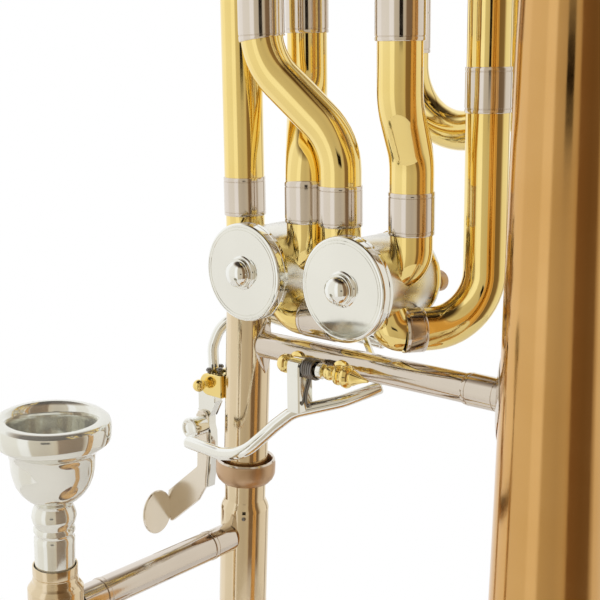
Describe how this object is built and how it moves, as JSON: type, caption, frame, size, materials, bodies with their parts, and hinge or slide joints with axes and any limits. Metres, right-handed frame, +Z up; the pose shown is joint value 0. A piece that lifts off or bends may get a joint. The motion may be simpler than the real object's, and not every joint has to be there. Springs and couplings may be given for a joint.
{
  "type": "bass trombone",
  "caption": "Slide trombone with in-line rotary valves, thumb and finger triggers, tuning slides, mouthpiece and a hand slide with water key, standing bell down.",
  "frame": {"origin": "centre of the bell rim plane", "axes": "+Z up along the bell axis away from the rim, +X from the neckpipe towards the bell, the mouthpiece leg of the hand slide towards -Y"},
  "size_m": [0.3101, 0.2408, 1.2265],
  "materials": {
    "gold_brass": "polished gold brass under clear lacquer",
    "lacquered_brass": "polished yellow brass under clear lacquer",
    "nickel_silver": "polished nickel silver",
    "silver_plate": "polished silver plate",
    "rotor_metal": "turned metal",
    "nut_metal": "satin",
    "dark_steel": "dark spring steel",
    "rubber": "matte"
  },
  "bodies": {
    "bell_section": {"bell": "gold_brass", "bell_stem": "gold_brass", "neckpipe": "nickel_silver", "hand_brace": "nickel_silver", "hand_brace_foot_bell": "nickel_silver", "hand_brace_foot_neck": "nickel_silver", "valve_casing_1": "silver_plate", "valve_casing_2": "silver_plate", "valve_cap_1": "silver_plate", "valve_cap_2": "silver_plate", "bearing_plate_1": "silver_plate", "bearing_plate_2": "silver_plate", "main_riser": "lacquered_brass", "f_loop_return": "lacquered_brass", "second_loop_inlet": "lacquered_brass", "second_loop_outlet": "lacquered_brass", "valve_link_tube": "nickel_silver", "f_loop_riser": "lacquered_brass", "f_loop_lower_bow": "lacquered_brass", "f_loop_upper_bow": "lacquered_brass", "loop_stay": "nickel_silver", "main_receiver_valve_side": "nickel_silver", "main_receiver_bell_side": "nickel_silver", "upper_stay": "nickel_silver", "thumb_post_left": "lacquered_brass", "thumb_post_right": "lacquered_brass", "thumb_hinge_rod": "dark_steel", "thumb_spring": "dark_steel", "finger_hinge_block": "lacquered_brass", "finger_hinge_screw": "lacquered_brass"},
    "first_rotor": {"rotor_1": "rotor_metal", "stop_arm_1": "silver_plate"},
    "second_rotor": {"rotor_2": "rotor_metal", "stop_arm_2": "silver_plate"},
    "first_link": {"link_1": "silver_plate"},
    "second_link": {"link_2": "silver_plate"},
    "thumb_trigger": {"thumb_lever": "silver_plate"},
    "finger_trigger": {"finger_lever": "silver_plate", "finger_touch": "silver_plate", "touch_screw": "silver_plate"},
    "main_slide_bow": {"main_tuning_slide": "lacquered_brass", "tuning_slide_stay": "nickel_silver"},
    "f_slide_bow": {"f_tuning_slide": "lacquered_brass"},
    "second_slide_bow": {"second_tuning_slide": "lacquered_brass"},
    "nut": {"coupling_nut": "nut_metal"},
    "hand_slide_inner": {"cork_barrel_neck_side": "nickel_silver", "mouthpiece_receiver_barrel": "nickel_silver", "inner_tube_neck_side": "nickel_silver", "inner_tube_mouthpiece_side": "nickel_silver", "slide_brace": "nickel_silver"},
    "hand_slide_outer": {"outer_tube_neck_side": "lacquered_brass", "outer_tube_mouthpiece_side": "lacquered_brass", "grip_brace": "nickel_silver", "slide_crook": "lacquered_brass", "slide_bumper": "rubber", "water_key_nipple": "nickel_silver", "water_key_saddle": "nickel_silver"},
    "lock_ring": {"slide_lock_ring": "nickel_silver"},
    "key_lever": {"water_key": "nickel_silver"},
    "mouthpiece_body": {"mouthpiece": "silver_plate"}
  },
  "joints": [
    {"name": "thumb_trigger_press", "type": "hinge", "parent": "bell_section", "child": "thumb_trigger", "pos_m": [-0.093, -0.012, 0.322], "axis": [1, 0, 0], "range_deg": [0, 18], "stiffness_Nm_per_rad": 0.25, "springref_deg": -20.05},
    {"name": "finger_trigger_press", "type": "hinge", "parent": "bell_section", "child": "finger_trigger", "pos_m": [-0.151, -0.0015, 0.304], "axis": [0, -1, 0], "range_deg": [0, 6], "stiffness_Nm_per_rad": 0.6, "springref_deg": -14.32},
    {"name": "rotor_1_turn", "type": "hinge", "parent": "bell_section", "child": "first_rotor", "pos_m": [-0.118, 0, 0.3545], "axis": [0, -1, 0], "range_deg": [0, 36]},
    {"name": "rotor_2_turn", "type": "hinge", "parent": "bell_section", "child": "second_rotor", "pos_m": [-0.0713, 0, 0.3545], "axis": [0, 1, 0], "range_deg": [0, 26]},
    {"name": "link_1_swing", "type": "hinge", "parent": "first_rotor", "child": "first_link", "pos_m": [-0.1075, 0.0209, 0.353], "axis": [0, -1, 0], "range_deg": [-36, 0]},
    {"name": "link_2_swing", "type": "hinge", "parent": "second_rotor", "child": "second_link", "pos_m": [-0.0865, 0.0209, 0.343], "axis": [0, 1, 0], "range_deg": [-30, 0]},
    {"name": "main_tuning_slide_pull", "type": "slide", "parent": "bell_section", "child": "main_slide_bow", "axis": [0, 0, 1], "range_m": [0, 0.035]},
    {"name": "f_tuning_slide_pull", "type": "slide", "parent": "bell_section", "child": "f_slide_bow", "axis": [0, 0, 1], "range_m": [0, 0.035]},
    {"name": "second_tuning_slide_pull", "type": "slide", "parent": "bell_section", "child": "second_slide_bow", "axis": [0, 0, 1], "range_m": [0, 0.035]},
    {"name": "coupling_nut_turn", "type": "hinge", "parent": "bell_section", "child": "nut", "pos_m": [-0.13634, 0, 0.26901], "axis": [0.0569, 0, 0.9984], "continuous": true},
    {"name": "hand_slide_swivel", "type": "hinge", "parent": "bell_section", "child": "hand_slide_inner", "pos_m": [-0.13634, 0, 0.26901], "axis": [0.0569, 0, 0.9984], "range_deg": [-40, 20]},
    {"name": "hand_slide_travel", "type": "slide", "parent": "hand_slide_inner", "child": "hand_slide_outer", "axis": [-0.0569, 0, -0.9984], "range_m": [0, 0.6]},
    {"name": "slide_lock_turn", "type": "hinge", "parent": "hand_slide_inner", "child": "lock_ring", "pos_m": [-0.14095, 0, 0.18814], "axis": [0.0569, 0, 0.9984], "range_deg": [0, 60]},
    {"name": "water_key_press", "type": "hinge", "parent": "hand_slide_outer", "child": "key_lever", "pos_m": [-0.18231, -0.02352, -0.53746], "axis": [-0.9984, 0, 0.0569], "range_deg": [0, 22], "stiffness_Nm_per_rad": 0.05, "springref_deg": -22.92},
    {"name": "mouthpiece_pull", "type": "slide", "parent": "hand_slide_inner", "child": "mouthpiece_body", "axis": [0.0569, 0, 0.9984], "range_m": [0, 0.04]}
  ],
  "couplings": [
    {"joint": "rotor_1_turn", "follows": "thumb_trigger_press", "ratio": 1.9},
    {"joint": "link_1_swing", "follows": "thumb_trigger_press", "ratio": -1.85},
    {"joint": "rotor_2_turn", "follows": "finger_trigger_press", "ratio": 3.83},
    {"joint": "link_2_swing", "follows": "finger_trigger_press", "ratio": -4.5}
  ]
}
